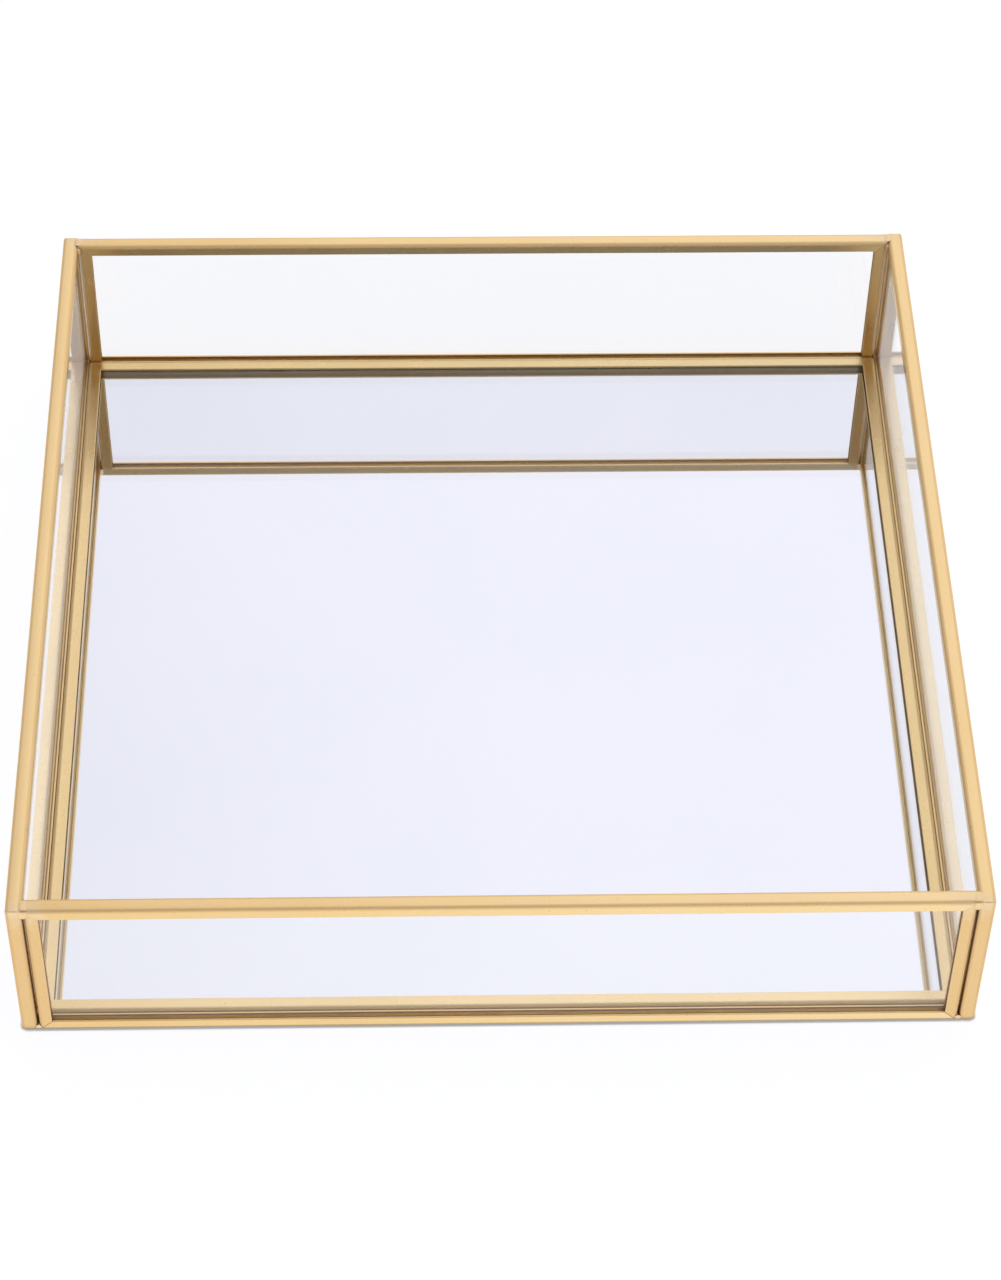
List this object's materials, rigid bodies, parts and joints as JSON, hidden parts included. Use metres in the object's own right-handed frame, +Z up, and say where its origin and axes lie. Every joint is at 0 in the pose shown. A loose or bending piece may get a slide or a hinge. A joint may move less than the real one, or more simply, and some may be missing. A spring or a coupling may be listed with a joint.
{
  "type": "vanity tray",
  "caption": "Square open vanity tray: low clear glass walls and a mirror floor, bound in folded brass channel with soldered corners.",
  "frame": {"origin": "middle of the underside, on the surface the tray stands on", "axes": "+Z up, +X to the right, front wall towards -Y; the front and back walls fit between the left and right walls"},
  "size_m": [0.254, 0.254, 0.052],
  "materials": {
    "brass": "satin folded brass channel, lightly brushed along its length",
    "wall_glass": "clear polished float glass",
    "mirror": "clear float glass silvered on its back",
    "mirror_back": "matte protective paint over the silvering",
    "solder": "brass-toned solder, ground flush"
  },
  "bodies": {
    "root": {"front_bottom_channel": "brass", "front_top_channel": "brass", "back_bottom_channel": "brass", "back_top_channel": "brass", "left_bottom_channel": "brass", "left_top_channel": "brass", "right_bottom_channel": "brass", "right_top_channel": "brass", "front_left_upright": "brass", "front_right_upright": "brass", "back_left_upright": "brass", "back_right_upright": "brass", "left_front_upright": "brass", "left_back_upright": "brass", "right_front_upright": "brass", "right_back_upright": "brass", "front_glass": "wall_glass", "back_glass": "wall_glass", "left_glass": "wall_glass", "right_glass": "wall_glass", "base_front_channel": "brass", "base_back_channel": "brass", "base_left_channel": "brass", "base_right_channel": "brass", "mirror_glass": "mirror", "mirror_silvering": "mirror_back", "solder_front_left_top": "solder", "solder_front_left_bottom": "solder", "solder_front_right_top": "solder", "solder_front_right_bottom": "solder", "solder_back_left_top": "solder", "solder_back_left_bottom": "solder", "solder_back_right_top": "solder", "solder_back_right_bottom": "solder"}
  },
  "joints": []
}
